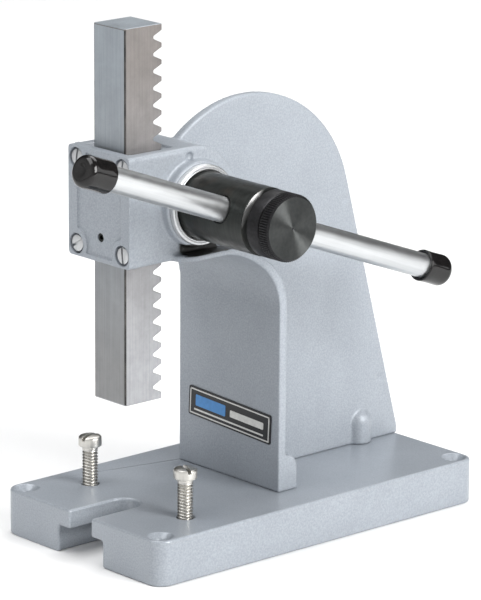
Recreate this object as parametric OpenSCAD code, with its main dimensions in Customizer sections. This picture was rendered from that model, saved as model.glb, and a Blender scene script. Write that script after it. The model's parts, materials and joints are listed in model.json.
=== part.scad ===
// Bench arbor press with a square rack ram, a pinion turned by a sliding lever,
// and an aluminium frame screwed to a slotted base. Millimetres, +Z up, the operator stands
// at -Y. The origin is on the base's underside, at the centre of its four bolt-down holes.

/* [Base] */
// Length of the base, front to back
base_l = 172; // [165:1:185]
// Width of the base
base_w = 95.4; // [92:0.2:110]
// Thickness of the base
base_h = 18.7; // [17:0.1:22]
// Corner radius of the base in plan
base_corner_r = 6.5; // [5:0.5:10]
// Distance between the bolt-down holes across the base
bolt_span_x = 82; // [78:1:86]
// Distance between the bolt-down holes along the base
bolt_span_y = 159; // [150:1:162]
// Radius of the bolt-down holes
bolt_hole_r = 2.7; // [2:0.1:3.2]
// Radius of the countersinks at the top of the bolt-down holes
bolt_sink_r = 5.1; // [4:0.1:5.6]
// Width of the T-slot at the top
slot_w = 13; // [8:0.5:16]
// Width of the T-slot's lower part
slot_wide_w = 26.8; // [24:0.2:34]
// Height of the T-slot's lower part
slot_wide_h = 11; // [8:0.1:13]
// Length of the T-slot's narrow part, from the front edge
slot_l = 29.2; // [20:0.1:32]

/* [Frame] */
// Thickness of the web and the front plate
wall_t = 4; // [3.5:0.1:5]
// Thickness of the floor that carries the head
floor_t = 2.5; // [2:0.1:3.5]
// Radius of the web's round top
disc_r = 56.8; // [54:0.2:58]
// Height of the centre of the web's round top
disc_z = 118.6; // [116:0.2:121]
// Width of the front plate
flange_w = 60.4; // [54:0.2:66]
// Front face of the front plate, measured from the origin
flange_y = -8.1; // [-10:0.1:-6]
// Inner radius of the bend that carries the front plate forward under the head
bend_r = 25; // [20:0.5:28]
// Width of the head
head_w = 36.6; // [35:0.2:40]
// Height of the head
head_h = 44; // [40:0.5:48]
// Thickness of the cover on the front of the head
cover_t = 4; // [3:0.1:5]

/* [Ram] */
// Side of the square ram
ram_side = 18.7; // [18:0.05:20]
// Height of the ram's lower end above the underside of the base
ram_rest_z = 61.9; // [40:0.1:80]
// Number of teeth on the ram
rack_teeth = 23; // [20:1:26]

/* [Pinion and lever] */
// Number of teeth on the pinion
pinion_teeth = 10; // [9:1:12]
// Diametral pitch of the rack and pinion
diametral_pitch = 12; // [12:1:14]
// Height of the pinion axis
pinion_z = 141.4; // [140:0.1:143]
// Distance of the pinion axis in front of the origin
pinion_y = 43; // [42:0.1:44]
// Radius of the hub outside the head
hub_r = 13.4; // [13:0.1:14]
// Outer end of the hub, measured from the ram's mid-plane
hub_end_x = 60.5; // [58:0.5:64]
// Position of the lever along the hub
lever_x = 47; // [44:0.5:50]
// Upward slope of the lever's front end, in degrees
lever_rise = 20.4; // [0:0.1:45]
// Radius of the lever rod
lever_r = 5; // [4:0.1:5.5]
// Length of the lever in front of the pinion axis, with its cap
lever_front_l = 86.5; // [70:0.5:110]
// Length of the lever behind the pinion axis, with its cap
lever_rear_l = 115.5; // [90:0.5:120]
// Radius of the lever's end caps
cap_r = 6.4; // [6:0.1:7]
// Length of the lever's end caps
cap_l = 13.5; // [12:0.5:20]

/* [Fixture screws] */
// Distance of each fixture screw from the mid-plane
fixture_x = 29; // [24:0.5:32]
// Distance of the fixture screws in front of the origin
fixture_y = 56.5; // [50:0.5:62]
// Height of the fixture screws' heads above the base
fixture_lift = 15.9; // [10:0.1:20]
// Length of the fixture screws under the head
fixture_l = 25.4; // [22:0.2:30]

/* [Hidden] */
$fn = 64;

run = 0.05;                    // radial running clearance of every sliding or turning fit
eps = 1;                       // how far a cutting shape runs past the face that it cuts

// Quarter-inch screws, 20 threads to the inch
screw_r = 3.175;
screw_hole_r = screw_r + run;

// Rack and pinion
pitch_l = PI*25.4/diametral_pitch;
pitch_r = pinion_teeth*12.7/diametral_pitch;
pressure = 25;                 // pressure angle; steep, so that a small pinion isn't undercut
addendum = 25.4/diametral_pitch;
rack_addendum = 0.83*addendum; // stub teeth, so that their tips clear the pinion's roots
tip_gap = 0.33;
pinion_tip_r = pitch_r + addendum;
pinion_root_r = pitch_r - rack_addendum - tip_gap;
pinion_base_r = pitch_r*cos(pressure);
backlash = 0.14;
axis_y = -pinion_y;
tip_y = axis_y - pitch_r + rack_addendum;
pitch_y = axis_y - pitch_r;
root_y = pitch_y - addendum - tip_gap;
ram_y0 = tip_y - ram_side;
end_to_tooth = 1.75;           // from each end of the ram to the middle of its first tooth
ram_l = (rack_teeth - 1)*pitch_l + 2*end_to_tooth;

// Head
head_z0 = pinion_z - head_h/2;
head_z1 = pinion_z + head_h/2;
head_x = head_w/2;
head_corner_r = 1.6;           // corners of the head in front view
gib_t = 1.45;
head_y0 = ram_y0 - run - gib_t;
cover_y0 = head_y0 - cover_t;
cover_edge = 4.7;              // from the cover's side edges to its screws
cover_rise = 4.9;              // from the cover's top and bottom edges to its screws
cover_screw_x = head_x - cover_edge;
cover_screw_z = head_h/2 - cover_rise;
cover_screws_at = [[-1, 1, 10], [1, 1, 5], [1, -1, -6], [-1, -1, 62]];  // side, level, turn of the slot
cover_screw_r = 2.08;
cover_head_r = 3.7;
cover_sink_r = 4.1;
cover_sink_t = 2.4;
panel_t = 0.9;                 // depth of the sunk panel on the cover
set_screw_z = head_z0 + 9.5;
set_screw_r = 1.75;

// Pinion shaft along X
gear_x = ram_side/2 + 0.375;
boss_r = 17;
boss_x = 22.4;
bush_wall = 1.6;
bush_flange_r = 15.9;
bush_flange_t = 2.2;
bush_lip = 0.7;                // countersink of the right bush round the hub
journal_r = 8;
left_boss_r = 12.5;
left_boss_x = -21;
end_play = 0.1;
end_washer_t = 1.5;

// Bend between the front plate and the head
bend_y = flange_y - bend_r;
bend_z = head_z0 - bend_r;

// Web
web_x0 = -3.2;
disc_y = 0.4;
rear_y = base_l/2;
rear_slope = 15.9;             // lean of the web's rear edge, in degrees from vertical
rear_foot_h = 3.4;
web_marks = [[52.8, 124.3], [74.8, 45]];  // shallow round marks near the rear edge

// Screws that hold the frame to the base
lug_x = 24.8;
lug_y = -3;
rear_lug_y = 65;
lug_r = 5.8;
lug_top = 28.3;
frame_screw_places = [[-lug_x, lug_y], [lug_x, lug_y], [web_x0 + wall_t/2, rear_lug_y]];
frame_head_r = 4.8;
frame_head_t = 5;
frame_washer_r = 5.6;
frame_washer_t = 1;
frame_sink_r = 6.2;
frame_sink_t = 7.5;
frame_thread_l = 7.5;

// Lock knob on the end of the hub
neck_t = 2.5;
neck_r = 9;
knob_x0 = hub_end_x + neck_t + 0.02;
knob_l = 11.8;
knob_r = 13.2;
knob_face_r = 12.2;
knob_chamfer = 0.9;
knob_collar_l = 6.2;
stud_r = 4;

head_slot_w = 1.5;

function inv(a) = tan(a)*180/PI - a;
function half_tooth(r) = 90/pinion_teeth + inv(pressure) - inv(acos(min(1, pinion_base_r/r)))
  - backlash/2/pitch_r*180/PI;
function polar(r, a) = [r*cos(a), r*sin(a)];
function ease(t) = t*t*(3 - 2*t);

// Extrudes a (Y, Z) outline along X
module along_x(x0, x1) translate([x0, 0, 0]) rotate([90, 0, 90]) linear_extrude(x1 - x0) children();

// A cylinder along X
module rod_x(x0, x1, y, z, r) translate([x0, y, z]) rotate([0, 90, 0]) cylinder(h=x1 - x0, r=r);

// A cylinder that runs forward, from y1 to y0
module rod_y(y0, y1, x, z, r) translate([x, y1, z]) rotate([90, 0, 0]) cylinder(h=y1 - y0, r=r);

// Turns +Z to point along the lever, towards its front end
module on_lever() translate([lever_x, axis_y, pinion_z]) rotate([90 - lever_rise, 0, 0]) children();

// A rectangle with round corners, centred
module round_rect(w, l, r) {
  square([w - 2*r, l], center=true);
  square([w, l - 2*r], center=true);
  for (x = [-1, 1], y = [-1, 1]) translate([x*(w/2 - r), y*(l/2 - r)]) circle(r=r);
}

module base_plate() color([0.66, 0.68, 0.71]) difference() {
  linear_extrude(base_h) round_rect(base_w, base_l, base_corner_r);
  for (x = [-1, 1], y = [-1, 1]) translate([x*bolt_span_x/2, y*bolt_span_y/2, 0]) {
    translate([0, 0, -eps]) cylinder(h=base_h + 2*eps, r=bolt_hole_r);
    translate([0, 0, base_h - (bolt_sink_r - bolt_hole_r)])
      cylinder(h=bolt_sink_r - bolt_hole_r + 0.01, r1=bolt_hole_r, r2=bolt_sink_r + 0.01);
  }
  t_slot();
  for (x = [-1, 1]) translate([x*fixture_x, -fixture_y, -eps]) cylinder(h=base_h + 2*eps, r=screw_hole_r);
  for (p = frame_screw_places) translate([p[0], p[1], -eps]) {
    cylinder(h=base_h + 2*eps, r=screw_r + 0.25);
    cylinder(h=frame_sink_t + eps, r=frame_sink_r);
  }
}

module t_slot() {
  narrow_end = -base_l/2 + slot_l - slot_w/2;
  wide_end = narrow_end + 12;
  translate([0, 0, -eps]) linear_extrude(base_h + 2*eps) {
    translate([-slot_w/2, -base_l/2 - eps]) square([slot_w, narrow_end + base_l/2 + eps]);
    translate([0, narrow_end]) circle(r=slot_w/2);
  }
  translate([-slot_wide_w/2, -base_l/2 - eps, -eps])
    cube([slot_wide_w, wide_end + base_l/2 + eps, slot_wide_h + eps]);
}

// The whole casting, with the ram's channel and the pinion's bore cut through its head
module frame_casting() color([0.72, 0.74, 0.77]) difference() {
  union() {
    web();
    front_plate();
    head_block();
    foot_lugs();
  }
  ram_channel();
  pinion_bore();
  for (p = cover_screws_at)
    rod_y(head_y0 - eps, head_y0 + 9, p[0]*cover_screw_x, pinion_z + p[1]*cover_screw_z, cover_screw_r + 0.02);
  for (p = frame_screw_places) translate([p[0], p[1], base_h - eps])
    cylinder(h=frame_thread_l + eps + 0.5, r=screw_hole_r);
  rod_x(head_x - 1.2, head_x + eps, axis_y - 2.2, head_z1 - 3.6, 1.7);
  for (p = web_marks) rod_x(web_x0 + wall_t - 0.4, web_x0 + wall_t + eps, p[0], p[1], 2.1);
}

module web() along_x(web_x0, web_x0 + wall_t) {
  tangent = [disc_y, disc_z] + polar(disc_r, rear_slope);
  intersection() {
    translate([disc_y, disc_z]) circle(r=disc_r, $fn=128);
    translate([-disc_r, head_z0 + wall_t/2]) square(2*disc_r);
  }
  difference() {
    polygon([[flange_y + 1, base_h], [rear_y, base_h], [rear_y, base_h + rear_foot_h], tangent,
      [disc_y, disc_z + 4], [bend_y, disc_z + 4], [bend_y, head_z0 + 1], [flange_y + 1, bend_z]]);
    translate([bend_y, bend_z]) circle(r=bend_r + 1);
  }
}

// The front plate rises from the base, then bends forward and becomes the floor of the head
module front_plate() intersection() {
  along_x(-flange_w/2, flange_w/2) {
    translate([flange_y, base_h]) square([wall_t, bend_z - base_h]);
    intersection() {
      difference() {
        translate([bend_y + wall_t - floor_t, bend_z]) circle(r=bend_r + floor_t);
        translate([bend_y, bend_z]) circle(r=bend_r);
      }
      translate([bend_y, bend_z]) square(bend_r + wall_t);
    }
    translate([axis_y - 11, head_z0]) square([bend_y - axis_y + 11 + wall_t - floor_t, floor_t]);
  }
  linear_extrude(head_z1) shelf_outline();
}

// Plan of the front plate: full width at the bottom, narrowing towards the head
module shelf_outline() {
  floor_x = 24.8;
  wide_y = flange_y + 1;
  narrow_y = bend_y + 5;
  steps = 8;
  side = [for (i = [0:steps]) let (t = i/steps)
    [flange_w/2 + (floor_x - flange_w/2)*ease(t), wide_y + (narrow_y - wide_y)*t]];
  nose = [for (i = [0:steps]) let (a = 90*i/steps)
    [head_x + (floor_x - head_x)*cos(a), axis_y - 1 - 10*sin(a)]];
  right = concat([[flange_w/2, flange_y + wall_t]], side, nose);
  polygon(concat(right, [for (i = [len(right) - 1:-1:0]) [-right[i][0], right[i][1]]]));
}

// The head's block, rounded at the back round the pinion, with a boss on each side
module head_block() {
  intersection() {
    along_x(-head_x, head_x) {
      translate([head_y0, head_z0]) square([axis_y - head_y0, head_h]);
      translate([axis_y, pinion_z]) circle(r=head_h/2);
    }
    along_front(head_y0, axis_y + head_h/2 + eps) round_rect(head_w, head_h, head_corner_r);
  }
  rod_x(head_x - 1, boss_x, axis_y, pinion_z, boss_r);
  rod_x(left_boss_x, -head_x + 1, axis_y, pinion_z, left_boss_r);
}

// Bosses that take the screws from below: two behind the front plate and one on the web
module foot_lugs() {
  for (x = [-flange_w/2, flange_w/2 - 10.4]) along_x(x, x + 10.4) {
    translate([flange_y + 1, base_h]) square([9.2, lug_top - base_h]);
    translate([lug_y, lug_top]) circle(r=5);
  }
  translate([frame_screw_places[2][0], rear_lug_y, base_h]) {
    cylinder(h=lug_top - base_h - 1, r=lug_r);
    translate([0, 0, lug_top - base_h - 1]) sphere(r=lug_r);
  }
}

// Square channel for the ram, open at the front under the cover, with a pocket at its top
module ram_channel() {
  half = ram_side/2 + run;
  translate([-half, head_y0 - eps, head_z0 - eps])
    cube([2*half, tip_y + run - head_y0 + eps, head_h + 2*eps]);
  translate([-12.7, head_y0 - eps, head_z1 - 1.2]) cube([25.4, tip_y + 2.4 - head_y0 + eps, 1.2 + eps]);
}

module pinion_bore() {
  bush_r = hub_r + run + bush_wall;
  rod_x(gear_x, boss_x + eps, axis_y, pinion_z, bush_r);
  rod_x(-gear_x - end_play/2, gear_x + eps, axis_y, pinion_z, pinion_tip_r + 0.5);
  rod_x(left_boss_x - eps, -gear_x + eps, axis_y, pinion_z, journal_r + run + bush_wall);
}

module head_cover() color([0.62, 0.64, 0.68]) difference() {
  along_front(cover_y0, head_y0) round_rect(head_w, head_h, head_corner_r);
  // sunk panel, left standing round the four screws
  along_front(cover_y0 - eps, cover_y0 + panel_t) difference() {
    square([head_w - 10.6, head_h - 3.8], center=true);
    for (p = cover_screws_at) translate([p[0]*cover_screw_x, p[1]*cover_screw_z]) circle(r=6.3);
  }
  for (p = cover_screws_at) translate([p[0]*cover_screw_x, 0, pinion_z + p[1]*cover_screw_z]) {
    rod_y(cover_y0 - eps, head_y0 + eps, 0, 0, cover_screw_r + 0.2);
    rod_y(cover_y0 - eps, cover_y0 + cover_sink_t, 0, 0, cover_sink_r);
  }
  rod_y(cover_y0 - eps, head_y0 + eps, 0, set_screw_z, set_screw_r + 0.03);
}

// Extrudes an (X, Z) outline, centred on the head, from y0 to y1
module along_front(y0, y1) translate([0, y1, pinion_z]) rotate([90, 0, 0]) linear_extrude(y1 - y0) children();

module cover_screws() color([0.8, 0.8, 0.8]) for (p = cover_screws_at)
  translate([p[0]*cover_screw_x, 0, pinion_z + p[1]*cover_screw_z]) difference() {
    union() {
      rod_y(cover_y0 + cover_sink_t - 2, cover_y0 + cover_sink_t, 0, 0, cover_head_r);
      rod_y(cover_y0 + cover_sink_t - 0.5, head_y0 + 8, 0, 0, cover_screw_r);
    }
    translate([0, cover_y0, 0]) rotate([0, p[2], 0]) cube([1, 2.6, 3*cover_head_r], center=true);
  }

// Wear strip between the cover and the ram
module gib_plate() color([0.72, 0.6, 0.35])
  translate([-ram_side/2 + 0.1, head_y0 + 0.02, head_z0])
    cube([ram_side - 0.2, gib_t - 0.02, head_h - 4]);

module gib_set_screw() color([0.2, 0.2, 0.22]) difference() {
  rod_y(head_y0 - 2.6, head_y0 + 0.01, 0, set_screw_z, set_screw_r);
  translate([0, head_y0 - 1.4, set_screw_z]) rotate([90, 0, 0]) cylinder(h=2, r=1.1, $fn=6);
}

module frame_screws() color([0.25, 0.25, 0.27]) for (p = frame_screw_places)
  translate([p[0], p[1], frame_sink_t - frame_washer_t]) difference() {
    union() {
      translate([0, 0, -frame_head_t]) cylinder(h=frame_head_t, r=frame_head_r);
      cylinder(h=base_h - frame_sink_t + frame_washer_t + frame_thread_l, r=screw_r);
    }
    translate([0, 0, -frame_head_t - eps]) cylinder(h=2.5 + eps, r=2.75, $fn=6);
  }

module frame_washers() color([0.75, 0.75, 0.75]) for (p = frame_screw_places)
  translate([p[0], p[1], frame_sink_t - frame_washer_t]) difference() {
    cylinder(h=frame_washer_t, r=frame_washer_r);
    translate([0, 0, -eps]) cylinder(h=frame_washer_t + 2*eps, r=screw_r + 0.2);
  }

// Plain plate on the front, stuck on a little out of level
module label_plate() color([0.1, 0.1, 0.12])
  translate([1, flange_y, 44.9]) rotate([90, -2.8, 0]) linear_extrude(0.6) round_rect(49.2, 12.2, 0.8);

module pinion_bush_right() color([0.8, 0.8, 0.78]) difference() {
  union() {
    rod_x(gear_x + 0.2, boss_x + 0.1, axis_y, pinion_z, hub_r + run + bush_wall);
    rod_x(boss_x, boss_x + bush_flange_t, axis_y, pinion_z, bush_flange_r);
  }
  rod_x(gear_x - eps, boss_x + bush_flange_t + eps, axis_y, pinion_z, hub_r + run);
  translate([boss_x + bush_flange_t - bush_lip, axis_y, pinion_z]) rotate([0, 90, 0])
    cylinder(h=bush_lip + 0.01, r1=hub_r + run, r2=hub_r + run + bush_lip + 0.01);
}

module pinion_bush_left() color([0.7, 0.55, 0.3]) difference() {
  rod_x(left_boss_x, -gear_x - end_play/2, axis_y, pinion_z, journal_r + run + bush_wall);
  rod_x(left_boss_x - eps, -gear_x + eps, axis_y, pinion_z, journal_r + run);
}

// Hub, gear and left journal in one piece; the gear's gap facing the ram takes a rack tooth
module pinion_shaft() color([0.22, 0.23, 0.23]) difference() {
  union() {
    rod_x(gear_x, hub_end_x, axis_y, pinion_z, hub_r);
    translate([0, axis_y, pinion_z]) along_x(-gear_x, gear_x + 0.1) gear_outline();
    rod_x(left_boss_x - end_play, -gear_x + 0.1, axis_y, pinion_z, journal_r);
  }
  on_lever() {
    translate([0, 0, -2*hub_r]) cylinder(h=4*hub_r, r=lever_r + run);
    for (turn = [0, 180]) rotate([turn, 0, 0]) translate([0, 0, hub_r - 2]) cylinder(h=4, r=lever_r + 0.6);
  }
  rod_x(lever_x, hub_end_x + eps, axis_y, pinion_z, stud_r + run);
  rod_x(left_boss_x - eps, left_boss_x + 9, axis_y, pinion_z, 2.55);
}

// The middle of a tooth meets the middle of the nearest gap in the rack
module gear_outline() {
  above = (pinion_z - ram_rest_z - end_to_tooth)/pitch_l - 0.5;
  to_gap = (above - floor(above))*pitch_l;
  phase = 180 + to_gap/pitch_r*180/PI;
  steps = 5;
  flank = [for (i = [0:steps]) let (r = pinion_base_r + (pinion_tip_r - pinion_base_r)*i/steps)
    [r, half_tooth(r)]];
  side = concat([[pinion_root_r, half_tooth(pinion_base_r)]], flank);
  polygon([for (k = [0:pinion_teeth - 1], s = [-1, 1], i = [0:len(side) - 1])
    let (p = side[s < 0 ? i : len(side) - 1 - i]) polar(p[0], phase + 360*k/pinion_teeth + s*p[1])]);
}

module pinion_end_washer() color([0.75, 0.75, 0.75]) difference() {
  rod_x(left_boss_x - end_play - end_washer_t, left_boss_x - end_play, axis_y, pinion_z, 10.5);
  rod_x(left_boss_x - end_washer_t - eps, left_boss_x + eps, axis_y, pinion_z, 2.7);
}

module pinion_end_screw() color([0.75, 0.75, 0.75]) {
  face = left_boss_x - end_play - end_washer_t;
  difference() {
    union() {
      rod_x(face - 3, face, axis_y, pinion_z, 4.6);
      rod_x(face - 0.1, left_boss_x + 8, axis_y, pinion_z, 2.5);
    }
    translate([face - 3, axis_y, pinion_z]) rotate([25, 0, 0]) cube([2.8, 12, 1.2], center=true);
  }
}

module ram() color([0.62, 0.62, 0.61]) along_x(-ram_side/2, ram_side/2) {
  tip_half = pitch_l/4 + rack_addendum*tan(pressure);
  root_half = pitch_l/4 - (addendum + tip_gap)*tan(pressure);
  gaps = [for (k = [rack_teeth - 2:-1:0], p = [[tip_y, tip_half], [root_y, root_half],
    [root_y, -root_half], [tip_y, -tip_half]])
    [p[0], ram_rest_z + end_to_tooth + (k + 0.5)*pitch_l + p[1]]];
  polygon(concat([[ram_y0, ram_rest_z], [ram_y0, ram_rest_z + ram_l], [tip_y, ram_rest_z + ram_l]],
    gaps, [[tip_y, ram_rest_z]]));
}

module lever_rod() color([0.8, 0.82, 0.83]) on_lever()
  translate([0, 0, -lever_rear_l + 2]) cylinder(h=lever_rear_l + lever_front_l - 4, r=lever_r);

// A cap with its mouth at z = 0 and its closed, rounded end at z = cap_l
module lever_cap() {
  corner = 2;
  rotate_extrude() polygon(concat(
    [[lever_r, 0], [cap_r - 0.3, 0], [cap_r, 0.3]],
    [for (a = [0:15:90]) [cap_r - corner + corner*cos(a), cap_l - corner + corner*sin(a)]],
    [[0, cap_l], [0, cap_l - 2], [lever_r, cap_l - 2]]));
}

module lever_cap_front() color([0.08, 0.08, 0.08])
  on_lever() translate([0, 0, lever_front_l - cap_l]) lever_cap();

module lever_cap_rear() color([0.08, 0.08, 0.08])
  on_lever() translate([0, 0, -lever_rear_l + cap_l]) mirror([0, 0, 1]) lever_cap();

// Smooth collar, a groove, a knurled band and a turned face
module lock_knob() color([0.12, 0.12, 0.12]) translate([knob_x0, axis_y, pinion_z]) rotate([0, 90, 0])
  difference() {
    union() {
      cylinder(h=knob_collar_l, r=knob_r);
      cylinder(h=knob_l - knob_chamfer, r=knob_face_r);
      translate([0, 0, knob_collar_l + 0.6])
        linear_extrude(knob_l - knob_chamfer - knob_collar_l - 0.6) knurl_outline();
      translate([0, 0, knob_l - knob_chamfer]) cylinder(h=knob_chamfer, r1=knob_r - 0.3, r2=knob_face_r);
    }
    translate([0, 0, -eps]) cylinder(h=7 + eps, r=stud_r);
  }

module knurl_outline() {
  ridges = 64;
  polygon([for (i = [0:2*ridges - 1]) polar(i % 2 == 0 ? knob_r : knob_r - 0.4, i*180/ridges)]);
}

module lock_stud() color([0.6, 0.6, 0.6])
  rod_x(lever_x + lever_r + 0.04, knob_x0 + 7, axis_y, pinion_z, stud_r);

module lock_washer() color([0.6, 0.6, 0.6]) difference() {
  rod_x(hub_end_x, hub_end_x + neck_t, axis_y, pinion_z, neck_r);
  rod_x(hub_end_x - eps, hub_end_x + neck_t + eps, axis_y, pinion_z, stud_r + 0.2);
}

// Slotted fillister-head screw, standing proud of the base
module fixture_screw(x, slot_turn) {
  head_t = 4.6;
  head_r = 4.7;
  translate([x, -fixture_y, base_h + fixture_lift]) difference() {
    union() {
      translate([0, 0, -fixture_l]) cylinder(h=fixture_l + 0.1, r=screw_r);
      rotate_extrude() polygon([[0, 0], [head_r - 0.3, 0], [head_r, 0.3], [head_r, head_t - 0.9],
        [head_r - 0.9, head_t - 0.25], [head_r - 2.2, head_t], [0, head_t]]);
    }
    translate([0, 0, head_t]) rotate([0, 0, slot_turn]) cube([head_slot_w, 3*head_r, 4], center=true);
  }
}

module fixture_screw_left() color([0.78, 0.77, 0.72]) fixture_screw(-fixture_x, 15);

module fixture_screw_right() color([0.78, 0.77, 0.72]) fixture_screw(fixture_x, 70);

base_plate();
frame_casting();
head_cover();
cover_screws();
gib_plate();
gib_set_screw();
frame_screws();
frame_washers();
label_plate();
pinion_bush_right();
pinion_bush_left();
pinion_shaft();
pinion_end_washer();
pinion_end_screw();
ram();
lever_rod();
lever_cap_front();
lever_cap_rear();
lock_knob();
lock_stud();
lock_washer();
fixture_screw_left();
fixture_screw_right();
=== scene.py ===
import json
import math

import bmesh
import bpy
from mathutils import Matrix, Quaternion, Vector

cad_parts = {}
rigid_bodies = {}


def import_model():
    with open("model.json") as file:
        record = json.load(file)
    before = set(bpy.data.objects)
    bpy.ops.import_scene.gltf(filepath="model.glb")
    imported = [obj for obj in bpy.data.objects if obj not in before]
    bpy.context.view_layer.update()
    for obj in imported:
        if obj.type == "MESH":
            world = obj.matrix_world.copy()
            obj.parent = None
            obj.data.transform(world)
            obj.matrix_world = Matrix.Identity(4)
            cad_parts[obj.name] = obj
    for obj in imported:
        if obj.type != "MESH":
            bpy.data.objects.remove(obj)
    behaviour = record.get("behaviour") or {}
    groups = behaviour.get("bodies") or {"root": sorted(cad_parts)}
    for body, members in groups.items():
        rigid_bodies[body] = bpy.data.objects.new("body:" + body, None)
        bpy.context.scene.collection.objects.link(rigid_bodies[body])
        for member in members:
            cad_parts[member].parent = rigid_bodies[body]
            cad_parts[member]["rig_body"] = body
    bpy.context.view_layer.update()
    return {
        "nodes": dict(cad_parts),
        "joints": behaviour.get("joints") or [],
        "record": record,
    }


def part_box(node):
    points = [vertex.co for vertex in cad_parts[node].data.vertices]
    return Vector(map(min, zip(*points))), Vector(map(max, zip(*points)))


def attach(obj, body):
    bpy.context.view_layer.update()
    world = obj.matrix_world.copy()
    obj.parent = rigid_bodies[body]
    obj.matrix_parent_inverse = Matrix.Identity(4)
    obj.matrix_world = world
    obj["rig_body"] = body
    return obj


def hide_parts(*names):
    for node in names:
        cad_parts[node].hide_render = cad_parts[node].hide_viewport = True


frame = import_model()

MM = 0.001
JOINTS = {joint["name"]: joint for joint in frame["joints"]}
MOUNTS = {mount["name"]: mount for mount in frame["record"]["mounts"]}
AXIS = Vector(JOINTS["pinion_spin"]["pos_m"])
LEVER = Vector(JOINTS["lever_slide"]["axis"]).normalized()


# ---------------------------------------------------------------- camera, floor and light

def make_camera():
    azimuth, elevation, roll = (math.radians(a) for a in (47.99, 15.37, 0.37))
    target = Vector((-0.94, -1.04, 78.24)) * MM
    distance = 1.6535
    back = Vector((math.sin(azimuth) * math.cos(elevation),
                   -math.cos(azimuth) * math.cos(elevation), math.sin(elevation)))
    camera = bpy.data.objects.new("camera", bpy.data.cameras.new("camera"))
    bpy.context.scene.collection.objects.link(camera)
    camera.rotation_mode = "QUATERNION"
    camera.location = target + back * distance
    camera.rotation_quaternion = (-back).to_track_quat("-Z", "Y") @ Quaternion((0, 0, 1), roll)
    camera.data.sensor_width = 36
    camera.data.lens = 246.83
    camera.data.shift_y = 0.0508
    camera.data.clip_start = 0.05
    bpy.context.scene.camera = camera


def make_floor():
    mesh = bpy.data.meshes.new("floor")
    half = 6
    corners = [(-half, -half, 0), (half, -half, 0), (half, half, 0), (-half, half, 0)]
    mesh.from_pydata(corners, [], [(0, 1, 2, 3)])
    floor = bpy.data.objects.new("floor", mesh)
    bpy.context.scene.collection.objects.link(floor)
    floor.location.z = -0.02 * MM
    paint = Paint("floor_paint", roughness=0.6)
    paint.color(paint.ramp(paint.noise(3, detail=1), (0.35, (0.88, 0.885, 0.89)), (0.65, (0.9, 0.9, 0.9))))
    mesh.materials.append(paint.material)


def area_light(name, place, target, size, power, tint=(1, 1, 1)):
    light = bpy.data.lights.new(name, "AREA")
    light.shape = "RECTANGLE"
    light.size, light.size_y = size
    light.energy = power
    light.color = tint
    lamp = bpy.data.objects.new(name, light)
    bpy.context.scene.collection.objects.link(lamp)
    lamp.location = place
    lamp.rotation_mode = "QUATERNION"
    lamp.rotation_quaternion = (Vector(target) - Vector(place)).to_track_quat("-Z", "Y")


def make_lights():
    middle = (0, 0, 0.1)
    area_light("right_softbox", (1.7, 0.3, 1.0), middle, (1.0, 1.2), 48, (1.0, 0.995, 0.985))
    area_light("rear_softbox", (1.5, 1.3, 0.7), middle, (1.0, 1.0), 5.5)
    area_light("top_softbox", (-0.25, -0.45, 1.6), middle, (1.2, 1.0), 14.5)
    area_light("back_softbox", (-0.3, 0.9, 1.6), middle, (1.2, 1.0), 11.6)
    area_light("backdrop_light", (-1.0, 1.2, 1.5), (-1.3, 1.3, 0), (1.6, 1.6), 8)


def make_world():
    """A soft glow from the front, and a faint one from above."""
    world = bpy.data.worlds.new("studio")
    bpy.context.scene.world = world
    world.use_nodes = True
    nodes, links = world.node_tree.nodes, world.node_tree.links
    direction = nodes.new("ShaderNodeTexCoord").outputs["Generated"]
    total = None
    for side, strength in (((0, -1, 0), 1.05), ((0, 0, 1), 0.08)):
        facing = nodes.new("ShaderNodeVectorMath")
        facing.operation = "DOT_PRODUCT"
        facing.inputs[1].default_value = side
        links.new(direction, facing.inputs[0])
        lit = nodes.new("ShaderNodeMath")
        lit.operation = "MAXIMUM"
        lit.inputs[1].default_value = 0
        links.new(facing.outputs["Value"], lit.inputs[0])
        scaled = nodes.new("ShaderNodeMath")
        scaled.operation = "MULTIPLY_ADD"
        scaled.inputs[1].default_value = strength
        scaled.inputs[2].default_value = 0
        links.new(lit.outputs[0], scaled.inputs[0])
        if total:
            links.new(total, scaled.inputs[2])
        total = scaled.outputs[0]
    links.new(total, nodes["Background"].inputs["Color"])


# ---------------------------------------------------------------- materials

def darker(tint, share):
    return tuple(share * part for part in tint)


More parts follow.
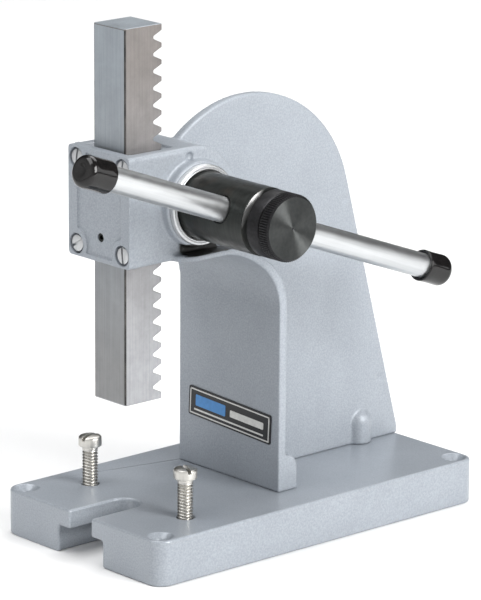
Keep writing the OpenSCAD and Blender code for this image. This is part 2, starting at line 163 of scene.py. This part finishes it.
class Paint:
    """A Principled material, with helpers for the nodes of its colour, roughness and bump."""

    def __init__(self, name, metallic=0.0, roughness=0.5):
        self.material = bpy.data.materials.new(name)
        self.material.use_nodes = True
        self.nodes = self.material.node_tree.nodes
        self.links = self.material.node_tree.links
        self.shader = self.nodes["Principled BSDF"]
        self.set("Metallic", metallic)
        self.set("Roughness", roughness)
        self.where = self.nodes.new("ShaderNodeTexCoord").outputs["Object"]
        self.height = None

    def set(self, socket, value):
        self.shader.inputs[socket].default_value = value

    def node(self, kind, **inputs):
        made = self.nodes.new(kind)
        for socket, value in inputs.items():
            if isinstance(value, bpy.types.NodeSocket):
                self.links.new(value, made.inputs[socket])
            else:
                made.inputs[socket].default_value = value
        return made

    def noise(self, scale, detail=2.0, stretch=(1, 1, 1), roughness=0.5):
        where = self.node("ShaderNodeMapping", Vector=self.where, Scale=stretch).outputs[0]
        made = self.node("ShaderNodeTexNoise", Vector=where, Scale=scale, Detail=detail, Roughness=roughness)
        return made.outputs[0]

    def ramp(self, value, *stops):
        """Colours or tones along a value. Each stop is (position, colour or tone)."""
        made = self.node("ShaderNodeValToRGB", Fac=value)
        elements = made.color_ramp.elements
        while len(elements) < len(stops):
            elements.new(0.5)
        for element, (position, shade) in zip(elements, stops):
            element.position = position
            element.color = (*shade, 1) if isinstance(shade, tuple) else (shade, shade, shade, 1)
        return made.outputs[0]

    def mix(self, factor, a, b, mode="MIX"):
        made = self.nodes.new("ShaderNodeMix")
        made.data_type = "RGBA"
        made.blend_type = mode
        for index, value in ((0, factor), (6, a), (7, b)):
            if isinstance(value, bpy.types.NodeSocket):
                self.links.new(value, made.inputs[index])
            else:
                made.inputs[index].default_value = (*value, 1) if isinstance(value, tuple) else value
        return made.outputs[2]

    def math(self, operation, a, b=0.0):
        made = self.nodes.new("ShaderNodeMath")
        made.operation = operation
        for index, value in enumerate((a, b)):
            if isinstance(value, bpy.types.NodeSocket):
                self.links.new(value, made.inputs[index])
            else:
                made.inputs[index].default_value = value
        return made.outputs[0]

    def color(self, value):
        self.links.new(value, self.shader.inputs["Base Color"])

    def rough(self, value):
        self.links.new(value, self.shader.inputs["Roughness"])

    def bump(self, height, depth, strength=1.0):
        """Adds a bump, depth metres deep, on top of any before it."""
        made = self.node("ShaderNodeBump", Height=height, Distance=depth, Strength=strength)
        if self.height is not None:
            self.links.new(self.height, made.inputs["Normal"])
        self.height = made.outputs[0]
        self.links.new(self.height, self.shader.inputs["Normal"])

    def around(self, axis, amount):
        """Turned round a local axis, which fans the light out into sectors."""
        tangent = self.nodes.new("ShaderNodeTangent")
        tangent.direction_type = "RADIAL"
        tangent.axis = axis
        self.links.new(tangent.outputs[0], self.shader.inputs["Tangent"])
        self.set("Anisotropic", amount)
        self.set("Anisotropic Rotation", 0.25)


def painted_hollow_shade(paint):
    """1 where shade is painted, in the hollow between the pinion's boss and the web's shelf, and 0
    elsewhere.
    """
    middle = Vector((22.2, -38, 123.8)) * MM
    half = Vector((4.9, 15, 2.7)) * MM
    inside = paint.node("ShaderNodeMapping", Vector=paint.where, Location=middle, Scale=half)
    inside.vector_type = "TEXTURE"
    away = paint.node("ShaderNodeSeparateXYZ", Vector=inside.outputs[0]).outputs
    across = [paint.math("ABSOLUTE", away[side]) for side in "XYZ"]
    farthest = paint.math("MAXIMUM", paint.math("MAXIMUM", across[0], across[1]), across[2])
    ragged = paint.math("ADD", farthest, paint.math("MULTIPLY", paint.noise(400, detail=3), 0.2))
    return paint.ramp(ragged, (0.9, 1.0), (1.1, 0.0))


def casting_paint(name, smooth_rough, dull_rough, depth):
    """Silver-grey satin paint over cast aluminium, with a fine grain."""
    paint = Paint(name, metallic=0.15)
    low, high = (0.285, 0.312, 0.347), (0.312, 0.339, 0.375)
    patches = paint.ramp(paint.noise(45, detail=3), (0.3, low), (0.7, high))
    grain = paint.ramp(paint.noise(1500, detail=2), (0.3, 0.87), (0.7, 1.1))
    painted = paint.mix(1.0, patches, grain, "MULTIPLY")
    # Painted shade: near black in the hollow between the pinion's boss and the web's shelf.
    paint.color(paint.mix(painted_hollow_shade(paint), painted, (0.012, 0.012, 0.011)))
    paint.rough(paint.ramp(paint.noise(300, detail=2), (0.3, smooth_rough), (0.7, dull_rough)))
    paint.bump(paint.noise(90, detail=2), 0.25 * MM, 0.2)
    paint.bump(paint.noise(1300, detail=2), 0.05 * MM, depth)
    return paint.material


def ground_steel(name, upper, lower, stains):
    """Ground bar: stained, with fine lines along it, and painted shading: a tone that changes along its
    length, given per face.
    """
    paint = Paint(name, metallic=0.6, roughness=0.42)
    lines = paint.noise(1300, detail=3, stretch=(1, 1, 0.02))
    height = paint.node("ShaderNodeSeparateXYZ", Vector=paint.where).outputs["Z"]
    foot, length = 0.062, 0.15
    share = paint.math("DIVIDE", paint.math("SUBTRACT", height, foot), length)
    # Painted shading: the tone runs from lower to upper, and each face of the ram gets its own pair.
    tone = paint.ramp(share, (0.1, lower), (0.9, upper))
    tone = paint.mix(1.0, tone, paint.ramp(lines, (0.3, 0.93), (0.7, 1.07)), "MULTIPLY")
    blots = paint.noise(110, detail=5, roughness=0.7)
    blots = paint.ramp(blots, (0.35, 1 - stains), (0.65, 1 + 0.3 * stains))
    paint.color(paint.mix(1.0, tone, blots, "MULTIPLY"))
    paint.rough(paint.ramp(paint.noise(200, detail=3), (0.3, 0.36), (0.7, 0.5)))
    paint.bump(lines, 0.02 * MM, 0.3)
    return paint.material


def dark_edge():
    """The bar's corners, left unground and dark."""
    paint = Paint("dark_edge", metallic=0.6, roughness=0.5)
    paint.color(paint.ramp(paint.noise(250, detail=3), (0.35, 0.03), (0.75, (0.09, 0.085, 0.08))))
    return paint.material


def black_oxide():
    """Blackened steel, with turning marks round the pinion's axis and brown patches."""
    paint = Paint("black_oxide", metallic=0.75, roughness=0.36)
    rings = paint.noise(900, detail=3, stretch=(1, 0.03, 0.03))
    tone = paint.ramp(rings, (0.3, (0.021, 0.024, 0.023)), (0.7, (0.034, 0.037, 0.035)))
    brown = paint.ramp(paint.noise(120, detail=4), (0.55, 0.0), (0.8, 0.5))
    paint.color(paint.mix(brown, tone, (0.07, 0.052, 0.04)))
    paint.rough(paint.ramp(paint.noise(400, detail=3), (0.3, 0.28), (0.7, 0.46)))
    paint.bump(rings, 0.02 * MM, 0.4)
    return paint.material


def bright_nickel(name, roughness, tint):
    """Nickel plate, drawn along the local Z axis."""
    paint = Paint(name, metallic=1.0)
    lines = paint.noise(900, detail=3, stretch=(1, 1, 0.03))
    paint.color(paint.ramp(lines, (0.35, darker(tint, 0.88)), (0.65, tint)))
    paint.rough(paint.ramp(paint.noise(250, detail=2), (0.3, 0.92 * roughness), (0.7, 1.1 * roughness)))
    paint.bump(paint.noise(260, detail=2), 0.03 * MM, 0.2)
    return paint.material


def bearing_bronze():
    """Bare bronze, turned round the pinion's axis."""
    paint = Paint("bronze", metallic=1.0, roughness=0.3)
    tint = (0.62, 0.46, 0.25)
    rings = paint.noise(1500, detail=2, stretch=(1, 0.05, 0.05))
    paint.color(paint.ramp(rings, (0.3, darker(tint, 0.86)), (0.7, tint)))
    paint.bump(rings, 0.02 * MM, 0.5)
    return paint.material


def turned_steel():
    """Bare steel, turned round the local Z axis."""
    paint = Paint("turned_steel", metallic=1.0, roughness=0.42)
    tint = (0.62, 0.63, 0.64)
    paint.color(paint.ramp(paint.noise(1500, detail=2), (0.3, darker(tint, 0.86)), (0.7, tint)))
    paint.bump(paint.noise(900, detail=2), 0.01 * MM, 0.4)
    paint.around("Z", 0.6)
    return paint.material


def painted_highlight_end():
    """The hub's end face: a painted highlight on the sector towards the front and top, dark elsewhere."""
    paint = Paint("hub_end_painted_highlight", metallic=1.0, roughness=0.42)
    place = paint.node("ShaderNodeSeparateXYZ", Vector=paint.where).outputs
    radius, side = 13 * MM, math.radians(40)
    forward = paint.math("SUBTRACT", AXIS.y, place["Y"])
    upward = paint.math("SUBTRACT", place["Z"], AXIS.z)
    forward = paint.math("MULTIPLY", forward, math.cos(side) / radius)
    upward = paint.math("MULTIPLY", upward, math.sin(side) / radius)
    # Painted highlight: the end face is bright on the sector towards the front and top.
    wear_and_painted_highlight = paint.ramp(paint.math("ADD", forward, upward), (0.72, 0.0), (0.92, 1.0))
    bright = paint.ramp(paint.noise(1500, detail=2), (0.3, (0.6, 0.6, 0.6)), (0.7, (0.72, 0.72, 0.71)))
    paint.color(paint.mix(wear_and_painted_highlight, (0.07, 0.072, 0.07), bright))
    paint.around("X", 1.0)
    return paint.material


def black_vinyl():
    """Glossy dipped vinyl, a little uneven."""
    paint = Paint("black_vinyl")
    paint.set("Specular IOR Level", 0.42)
    paint.color(paint.ramp(paint.noise(300), (0.3, (0.004, 0.004, 0.004)), (0.7, (0.009, 0.008, 0.008))))
    paint.rough(paint.ramp(paint.noise(500, detail=3), (0.3, 0.08), (0.7, 0.15)))
    paint.bump(paint.noise(160, detail=1), 0.35 * MM, 0.35)
    return paint.material


def anodised_knurl():
    """Black anodised aluminium of the knob's side."""
    paint = Paint("anodised_knurl", metallic=0.8, roughness=0.4)
    low, high = (0.014, 0.014, 0.015), (0.024, 0.024, 0.026)
    paint.color(paint.ramp(paint.noise(900, detail=2), (0.3, low), (0.7, high)))
    return paint.material


def anodised_face():
    """The knob's turned face, with fine rings that spread the light into sectors."""
    paint = Paint("anodised_face", metallic=1.0, roughness=0.4)
    low, high = (0.052, 0.055, 0.055), (0.064, 0.067, 0.066)
    paint.color(paint.ramp(paint.noise(700, detail=2), (0.3, low), (0.7, high)))
    paint.around("Z", 1.0)
    return paint.material


def flat_print(name, tint, roughness=0.35):
    """Ink or foil of the label."""
    paint = Paint(name, metallic=0.2, roughness=roughness)
    paint.color(paint.ramp(paint.noise(700, detail=2), (0.3, darker(tint, 0.85)), (0.7, tint)))
    return paint.material


# ---------------------------------------------------------------- meshes

def link(name, mesh, *materials):
    made = bpy.data.objects.new(name, mesh)
    bpy.context.scene.collection.objects.link(made)
    for material in materials:
        mesh.materials.append(material)
    return made


def smooth(mesh, angle):
    mesh.shade_smooth()
    mesh.set_sharp_from_angle(angle=math.radians(angle))


def bake(piece):
    """Applies a piece's modifiers."""
    made = bpy.data.meshes.new_from_object(piece.evaluated_get(bpy.context.evaluated_depsgraph_get()))
    piece.modifiers.clear()
    piece.data = made


def stands_for(piece, node):
    """Makes a piece move with a CAD node's body, in the node's place, and hides the node."""
    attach(piece, frame["nodes"][node]["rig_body"])
    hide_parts(node)
    return piece


def placement(place, direction):
    """Puts local Z along direction, with the origin at place."""
    return Matrix.Translation(place) @ Vector((0, 0, 1)).rotation_difference(direction).to_matrix().to_4x4()


def softened(node, width, *materials):
    """A copy of a CAD node with rounded edges, which stands for the node.
    width(middle) gives the width of the round on the sharp edge with that middle, in metres."""
    mesh = bpy.data.meshes.new(node + "_rounded")
    work = bmesh.new()
    work.from_mesh(frame["nodes"][node].data)
    bmesh.ops.remove_doubles(work, verts=work.verts, dist=0.002 * MM)
    bmesh.ops.dissolve_limit(work, angle_limit=math.radians(0.5), verts=work.verts, edges=work.edges)
    widest = 2 * MM
    weight = work.edges.layers.float.new("bevel_weight_edge")
    for edge in work.edges:
        if edge.is_manifold and edge.calc_face_angle(0) > math.radians(25):
            middle = (edge.verts[0].co + edge.verts[1].co) / 2
            edge[weight] = min(1, width(middle) / widest)
    for face in work.faces:
        face.material_index = 0
    work.to_mesh(mesh)
    work.free()
    piece = link(node + "_rounded", mesh, *materials)
    bevel = piece.modifiers.new("rounds", "BEVEL")
    bevel.width = widest
    bevel.segments = 3
    bevel.limit_method = "WEIGHT"
    bevel.use_clamp_overlap = False
    bevel.miter_outer = "MITER_ARC"
    bake(piece)
    smooth(piece.data, 30)
    flat = piece.modifiers.new("flat_faces", "WEIGHTED_NORMAL")
    flat.keep_sharp = True
    bake(piece)
    return stands_for(piece, node)


def cast(node, voxel, rounds, keep, material):
    """A copy of a CAD node with the soft edges and small fillets of a casting, which stands for the node."""
    piece = link(node + "_cast", bpy.data.meshes.new(node + "_cast"), material)
    work = bmesh.new()
    work.from_mesh(frame["nodes"][node].data)
    bmesh.ops.remove_doubles(work, verts=work.verts, dist=0.005 * MM)
    for face in work.faces:
        face.material_index = 0
    work.to_mesh(piece.data)
    work.free()
    remesh = piece.modifiers.new("skin", "REMESH")
    remesh.mode = "VOXEL"
    remesh.voxel_size = voxel
    bake(piece)
    low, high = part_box("head_cover")
    free = piece.vertex_groups.new(name="free")
    for vertex in piece.data.vertices:
        place = vertex.co
        from_seam = abs(place.y - high.y) / MM
        free.add([vertex.index], min(1, max(0, from_seam - 0.8)), "REPLACE")
        if from_seam < 1:
            for side, face in ((1, high.y), (0, low.x), (0, high.x), (2, low.z), (2, high.z)):
                if abs(place[side] - face) < 0.35 * MM:
                    place[side] = face
    soften = piece.modifiers.new("soften", "SMOOTH")
    soften.iterations = rounds
    soften.vertex_group = free.name
    thin = piece.modifiers.new("thin", "DECIMATE")
    thin.ratio = keep
    bake(piece)
    smooth(piece.data, 50)
    return stands_for(piece, node)


def turned(profile, segments=96, closed=False, ridges=0):
    """A shape turned round local Z. Each profile point is (radius, height, ridge depth), in millimetres;
    the ridge depth may be left out. A closed profile comes back to its first point."""
    work = bmesh.new()
    rings = []
    count = 4 * ridges if ridges else segments
    wave = (0, 0.2, 1, 0.2)
    for radius, height, *depth in profile:
        cut = depth[0] if depth else 0
        ring = []
        for i in range(count if radius else 1):
            angle = 2 * math.pi * i / count
            r = radius - cut * wave[i % 4]
            ring.append(work.verts.new((r * math.cos(angle) * MM, r * math.sin(angle) * MM, height * MM)))
        rings.append(ring)
    for low, high in zip(rings, rings[1:] + rings[:1] if closed else rings[1:]):
        for i in range(count):
            corners = [low[i % len(low)], low[(i + 1) % len(low)]]
            corners += [high[(i + 1) % len(high)], high[i % len(high)]]
            corners = list(dict.fromkeys(corners))
            if len(corners) > 2:
                work.faces.new(corners)
    bmesh.ops.recalc_face_normals(work, faces=work.faces)
    return work


def to_mesh(work, name, angle=32):
    mesh = bpy.data.meshes.new(name)
    work.to_mesh(mesh)
    work.free()
    smooth(mesh, angle)
    return mesh


def arc(centre_r, centre_z, radius, start, end, steps=6):
    """Profile points along a round, between two angles in degrees; 0 points outwards and 90 up."""
    angles = [math.radians(start + (end - start) * i / steps) for i in range(steps + 1)]
    return [(centre_r + radius * math.cos(a), centre_z + radius * math.sin(a)) for a in angles]


def threaded_shank(length, major, depth, pitch, plain):
    """A screw's shank from z = 0 down, plain under the head, with a chamfered tip. Millimetres."""
    work = bmesh.new()
    around, per_pitch = 48, 14
    levels = int(length / pitch * per_pitch)
    rings = []
    for k in range(levels + 1):
        z = -length * k / levels
        fade = min(1, max(0, (-z - plain) / pitch))
        tip = max(0, 1 - (length + z) / 0.7)
        ring = []
        for i in range(around):
            angle = 2 * math.pi * i / around
            phase = (z / pitch + i / around) % 1
            groove = min(1, max(0, 1.3 * abs(2 * phase - 1) - 0.2))
            r = min(major - depth * groove * fade, major - 0.8 * tip)
            ring.append(work.verts.new((r * math.cos(angle) * MM, r * math.sin(angle) * MM, z * MM)))
        rings.append(ring)
    for low, high in zip(rings, rings[1:]):
        for i in range(around):
            work.faces.new((low[i], low[(i + 1) % around], high[(i + 1) % around], high[i]))
    work.faces.new(rings[0])
    work.faces.new(rings[-1])
    bmesh.ops.recalc_face_normals(work, faces=work.faces)
    return work


def slotted_head(name, radius, height, round_r, dome, slot_w, slot_t, slot_turn):
    """A screw head on z = 0, domed and slotted, as a mesh. Millimetres and degrees."""
    side = height - dome
    profile = [(0, 0), (radius - 0.25, 0), (radius, 0.25)]
    profile += arc(radius - round_r, side - round_r, round_r, 0, 78)
    top_r = profile[-1][0]
    for k in range(1, 6):
        share = k / 6
        profile.append((top_r * (1 - share), side + dome * (1 - (1 - share) ** 2)))
    profile.append((0, height))
    head = link(name + "_blank", to_mesh(turned(profile, 72), name))
    work = bmesh.new()
    bmesh.ops.create_cube(work, size=1)
    bmesh.ops.scale(work, vec=(slot_w * MM, 4 * radius * MM, 2 * slot_t * MM), verts=work.verts)
    floor_edges = [edge for edge in work.edges if edge.verts[0].co.z < 0
                   and abs(edge.verts[0].co.y - edge.verts[1].co.y) > radius * MM]
    bmesh.ops.bevel(work, geom=floor_edges, offset=0.15 * MM, segments=2, affect="EDGES")
    cutter = link(name + "_cutter", to_mesh(work, name + "_cutter"))
    turn = Matrix.Rotation(math.radians(slot_turn), 4, "Z")
    cutter.matrix_world = Matrix.Translation((0, 0, height * MM)) @ turn
    cut = head.modifiers.new("slot", "BOOLEAN")
    cut.object = cutter
    cut.solver = "EXACT"
    wear_and_painted_highlight = head.modifiers.new("wear_and_painted_highlight", "BEVEL")
    wear_and_painted_highlight.width = 0.12 * MM
    wear_and_painted_highlight.segments = 2
    wear_and_painted_highlight.limit_method = "ANGLE"
    wear_and_painted_highlight.angle_limit = math.radians(40)
    bake(head)
    mesh = head.data
    bpy.data.objects.remove(cutter)
    bpy.data.objects.remove(head)
    return mesh


def merged(name, *parts):
    """One mesh made of (mesh, matrix) pairs."""
    work = bmesh.new()
    for mesh, matrix in parts:
        copy = mesh.copy()
        copy.transform(matrix)
        work.from_mesh(copy)
    return to_mesh(work, name, 34)


# ---------------------------------------------------------------- pieces

def lever_parts():
    """The drawn rod and its two dipped caps, along the lever's own axis."""
    low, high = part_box("lever_cap_front")
    middle = Vector(((low.x + high.x) / 2, AXIS.y, AXIS.z))

    def reach(node):
        """How far a node reaches along the lever from the pinion's axis, least and most, in millimetres."""
        reached = [(vertex.co - middle).dot(LEVER) / MM for vertex in frame["nodes"][node].data.vertices]
        return min(reached), max(reached)

    rear_end, front_end = reach("lever_cap_rear")[0], reach("lever_cap_front")[1]
    r = 5.0
    front, rear = front_end - 2, rear_end + 2
    profile = [(0, rear), (r - 0.5, rear), (r, rear + 0.5), (r, 0)]
    profile += [(r, front - 0.5), (r - 0.5, front), (0, front)]
    rod = link("lever_rod_drawn", to_mesh(turned(profile, 128), "lever_rod_drawn"), ROD)
    rod.matrix_world = placement(middle, LEVER)
    stands_for(rod, "lever_rod")
    wide, deep, corner = 6.4, 13.5, 3.0
    for name, end, way in (("lever_cap_front", front_end, 1), ("lever_cap_rear", rear_end, -1)):
        profile = [(r + 0.02, deep - 2.1), (r + 0.02, 0.3), (r + 0.25, 0.05), (wide - 0.45, 0)]
        profile += arc(wide - 0.4, 0.4, 0.4, -80, 0, 4)
        profile += [(wide - 0.06, 3), (wide - 0.1, 6), (wide - 0.04, 9)]
        profile += arc(wide - corner, deep - corner, corner, 0, 80, 9)
        profile += [(3.0, deep - 0.08), (2.3, deep - 0.3), (1.3, deep - 0.6), (0, deep - 0.72)]
        mesh = to_mesh(turned(profile, 96), name + "_dipped", 50)
        mesh.transform(placement(middle + LEVER * (end - way * deep) * MM, LEVER * way))
        stands_for(link(name + "_dipped", mesh, VINYL), name)


def knob():
    """Lock knob: smooth collar, groove, straight knurl, chamfer and a turned face with a centre mark."""
    low, high = (corner.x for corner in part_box("lock_knob"))
    long = (high - low) / MM
    wide, face_r, collar = 13.2, 12.2, 6.2
    chamfer = long - 0.9
    profile = [(4.1, 7), (4.1, 0), (wide - 0.3, 0), (wide, 0.3), (wide, collar - 0.55)]
    profile += [(wide - 0.1, collar - 0.3), (wide - 0.35, collar - 0.1)]
    profile += [(wide - 0.75, collar + 0.1), (wide - 0.75, collar + 0.35)]
    profile += [(wide - 0.4, collar + 0.6), (wide, collar + 0.95, 0.5), (wide, chamfer - 0.15, 0.5)]
    profile += [(wide - 0.3, chamfer + 0.1, 0.25), (face_r + 0.06, long - 0.06), (face_r, long)]
    profile += [(r, long) for r in (9, 6, 3, 0.5)] + [(0, long - 0.3)]
    mesh = to_mesh(turned(profile, ridges=84), "lock_knob_turned", 24)
    piece = link("lock_knob_turned", mesh, KNURL, FACE)
    for face in mesh.polygons:
        if face.normal.z > 0.99 and face.center.z > (long - 0.05) * MM:
            face.material_index = 1
    piece.matrix_world = placement((low, AXIS.y, AXIS.z), Vector((1, 0, 0)))
    stands_for(piece, "lock_knob")


def neck():
    """Bright spacer between the hub and the knob."""
    low, high = (corner.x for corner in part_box("lock_washer"))
    wide, t = 9.0, (high - low) / MM
    profile = [(4.2, 0.2), (4.4, 0), (wide - 0.3, 0), (wide, 0.3)]
    profile += [(wide, t - 0.3), (wide - 0.3, t), (4.4, t), (4.2, t - 0.2)]
    mesh = to_mesh(turned(profile, closed=True), "lock_washer_turned")
    piece = link("lock_washer_turned", mesh, TURNED)
    piece.matrix_world = placement((low, AXIS.y, AXIS.z), Vector((1, 0, 0)))
    stands_for(piece, "lock_washer")


def bush():
    """Pressed bush whose flange shows as two bright rings round the hub."""
    low, high = (corner.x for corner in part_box("pinion_bush_right"))
    length = (high - low) / MM
    bore, body, flange = 13.45, 15.05, 15.9
    seat = length - 2.2
    profile = [(bore, 0.3), (bore + 0.3, 0), (body - 0.3, 0), (body, 0.3), (body, seat)]
    profile += [(flange, seat)]
    profile += arc(flange - 0.6, length - 0.6, 0.6, 0, 90, 4)
    profile += [(15.0, length), (14.85, length - 0.35), (14.7, length - 0.35)]
    profile += [(14.5, length - 0.05), (14.2, length), (bore, length - 0.72)]
    mesh = to_mesh(turned(profile, 128, closed=True), "pinion_bush_right_turned")
    piece = link("pinion_bush_right_turned", mesh, TURNED)
    piece.matrix_world = placement((low, AXIS.y, AXIS.z), Vector((1, 0, 0)))
    stands_for(piece, "pinion_bush_right")


def base():
    """The base, with its edges 1 mm round, and less at the bolt holes."""
    spacing = MOUNTS["base_bolts"]["dims"]
    bolt_x, bolt_y = (spacing[side] / 2 * MM for side in ("spacing_x_mm", "spacing_y_mm"))

    def width(middle):
        from_bolt = math.hypot(abs(middle.x) - bolt_x, abs(middle.y) - bolt_y)
        return 0.3 * MM if from_bolt < 5.6 * MM else 1.0 * MM

    softened("base_plate", width, BASE)


def ram():
    """The ram's bar, whose front and sides carry painted shading that differs between them, and whose front
    corners differ in finish.
    """
    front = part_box("ram")[0].y

    def width(middle):
        return 0.6 * MM if middle.y < front + 0.3 * MM else 0.35 * MM

    bar = softened("ram", width, STEEL, SIDE, EDGE)
    for face in bar.data.polygons:
        x, y, z = face.normal
        if y > -0.97 and abs(z) < 0.7:
            face.material_index = 1
        if abs(z) < 0.1 and 0.25 < abs(x) < 0.97 and y < -0.2:
            face.material_index = 2


def hub():
    """The pinion's shaft and hub, with a painted highlight on its end face."""
    shaft = softened("pinion_shaft", lambda middle: 0.25 * MM, OXIDE, HUB_END)
    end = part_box("pinion_shaft")[1].x
    for face in shaft.data.polygons:
        if face.normal.x > 0.99 and face.center.x > end - 0.1 * MM:
            face.material_index = 1


def fixture_screws():
    """Quarter-inch screws with rolled threads and rounded, slotted heads."""
    pitch = 1.27
    for name, turn in (("fixture_screw_left", 15), ("fixture_screw_right", 70)):
        low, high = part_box(name)
        seat = high.z / MM - 4.6
        shank = to_mesh(threaded_shank(25.4, 3.17, 0.72, pitch, 1.2), name + "_shank", 40)
        head = slotted_head(name, 4.7, 4.6, 1.1, 0.4, 1.5, 1.9, turn)
        mesh = merged(name + "_threaded", (shank, Matrix.Identity(4)), (head, Matrix.Identity(4)))
        piece = link(name + "_threaded", mesh, NICKEL)
        piece.matrix_world = Matrix.Translation(((low.x + high.x) / 2, (low.y + high.y) / 2, seat * MM))
        stands_for(piece, name)


def cover_screws():
    """Four recessed cheese-head screws, each slot at its own angle."""
    front, back = (corner.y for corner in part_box("cover_screws"))
    height = 2.0
    parts = []
    for side, level, turn in ((-1, 1, 10), (1, 1, 5), (1, -1, -6), (-1, -1, 62)):
        place = Vector((side * 13.6 * MM, front + height * MM, AXIS.z + level * 17.1 * MM))
        head = slotted_head("cover_screw", 3.35, height, 0.35, 0.12, 1.0, 0.9, -turn)
        shank = to_mesh(threaded_shank((back - front) / MM - height, 2.05, 0.4, 0.8, 1.5), "cover_shank", 40)
        face = placement(place, Vector((0, -1, 0)))
        parts += [(head, face), (shank, face)]
    piece = link("cover_screws_slotted", merged("cover_screws_slotted", *parts), SCREW)
    stands_for(piece, "cover_screws")


def label():
    """Black plate with a foil border and plain blocks of colour, without lettering."""
    low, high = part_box("label_plate")
    wide, tall, thick, proud = 49.2, 12.2, 0.5, 0.07
    work = bmesh.new()

    def bar(x0, x1, y0, y1, z0, z1, corner, index):
        """A flat bar with round corners, in the plate's own plane."""
        points = []
        for cx, cy, start in ((x1 - corner, y1 - corner, 0), (x0 + corner, y1 - corner, 90),
                              (x0 + corner, y0 + corner, 180), (x1 - corner, y0 + corner, 270)):
            for k in range(5):
                a = math.radians(start + 22.5 * k)
                points.append((cx + corner * math.cos(a), cy + corner * math.sin(a)))
        lower = [work.verts.new((x * MM, y * MM, z0 * MM)) for x, y in points]
        upper = [work.verts.new((x * MM, y * MM, z1 * MM)) for x, y in points]
        faces = [work.faces.new(lower[::-1]), work.faces.new(upper)]
        for i in range(len(points)):
            faces.append(work.faces.new((lower[i - 1], lower[i], upper[i], upper[i - 1])))
        for face in faces:
            face.material_index = index

    def print_on(x0, x1, y0, y1, corner, index):
        bar(x0, x1, y0, y1, thick - 0.1, thick + proud, corner, index)

    x, y = wide / 2, tall / 2
    bar(-x, x, -y, y, 0, thick, 0.8, 0)
    line = 0.55
    edge_x, edge_y = x - 0.75, y - 0.75
    print_on(-edge_x, edge_x, edge_y - line, edge_y, 0.2, 1)
    print_on(-edge_x, edge_x, -edge_y, -edge_y + line, 0.2, 1)
    print_on(-edge_x, -edge_x + line, -edge_y, edge_y, 0.2, 1)
    print_on(edge_x - line, edge_x, -edge_y, edge_y, 0.2, 1)
    print_on(-x + 4.2, -2.4, -1.6, 3.1, 0.5, 2)
    print_on(0.4, x - 4.2, -0.9, 2.0, 0.5, 1)
    print_on(-x + 3.4, x - 4.2, -3.6, -2.9, 0.15, 1)
    bmesh.ops.recalc_face_normals(work, faces=work.faces)
    piece = link("label_plate_printed", to_mesh(work, "label_plate_printed"), PLATE, FOIL, BLUE)
    middle = (low + high) / 2
    tilt = Matrix.Rotation(math.radians(2.8), 4, "Y") @ Matrix.Rotation(math.radians(90), 4, "X")
    piece.matrix_world = Matrix.Translation((middle.x, high.y, middle.z)) @ tilt
    stands_for(piece, "label_plate")


make_camera()
make_floor()
make_lights()
make_world()
bpy.context.scene.view_settings.view_transform = "Standard"

CAST = casting_paint("frame_paint", 0.40, 0.50, 0.4)
BASE = casting_paint("base_paint", 0.28, 0.34, 0.15)
# Painted shading: the front is lighter towards the top, the sides darker towards the top.
STEEL = ground_steel("ram_front_steel", (0.34, 0.375, 0.41), (0.255, 0.258, 0.262), 0.08)
SIDE = ground_steel("ram_side_steel", (0.195, 0.18, 0.172), (0.355, 0.36, 0.375), 0.14)
EDGE = dark_edge()
OXIDE = black_oxide()
ROD = bright_nickel("lever_nickel", 0.36, (0.60, 0.615, 0.625))
SCREW = bright_nickel("plated_screw", 0.34, (0.55, 0.56, 0.57))
NICKEL = bright_nickel("screw_nickel", 0.34, (0.62, 0.605, 0.57))
TURNED = turned_steel()
HUB_END = painted_highlight_end()
BRONZE = bearing_bronze()
VINYL = black_vinyl()
KNURL = anodised_knurl()
FACE = anodised_face()
PLATE = flat_print("label_black", (0.012, 0.012, 0.014))
FOIL = flat_print("label_foil", (0.62, 0.62, 0.60), 0.3)
BLUE = flat_print("label_blue", (0.06, 0.24, 0.55))

NODE_MATERIALS = {
    "base_plate": BASE,
    "frame_casting": CAST,
    "head_cover": CAST,
    "cover_screws": SCREW,
    "gib_plate": BRONZE,
    "gib_set_screw": OXIDE,
    "frame_screws": OXIDE,
    "frame_washers": NICKEL,
    "label_plate": PLATE,
    "ram": STEEL,
    "pinion_bush_right": TURNED,
    "pinion_bush_left": BRONZE,
    "pinion_shaft": OXIDE,
    "pinion_end_washer": NICKEL,
    "pinion_end_screw": NICKEL,
    "lever_rod": ROD,
    "lever_cap_front": VINYL,
    "lever_cap_rear": VINYL,
    "lock_knob": KNURL,
    "lock_stud": NICKEL,
    "lock_washer": TURNED,
    "fixture_screw_left": NICKEL,
    "fixture_screw_right": NICKEL,
}
for name, material in NODE_MATERIALS.items():
    for slot in frame["nodes"][name].material_slots:
        slot.material = material

base()
cast("frame_casting", 0.5 * MM, 8, 0.25, CAST)
cast("head_cover", 0.22 * MM, 3, 0.3, CAST)
ram()
hub()
cover_screws()
fixture_screws()
lever_parts()
knob()
neck()
bush()
label()
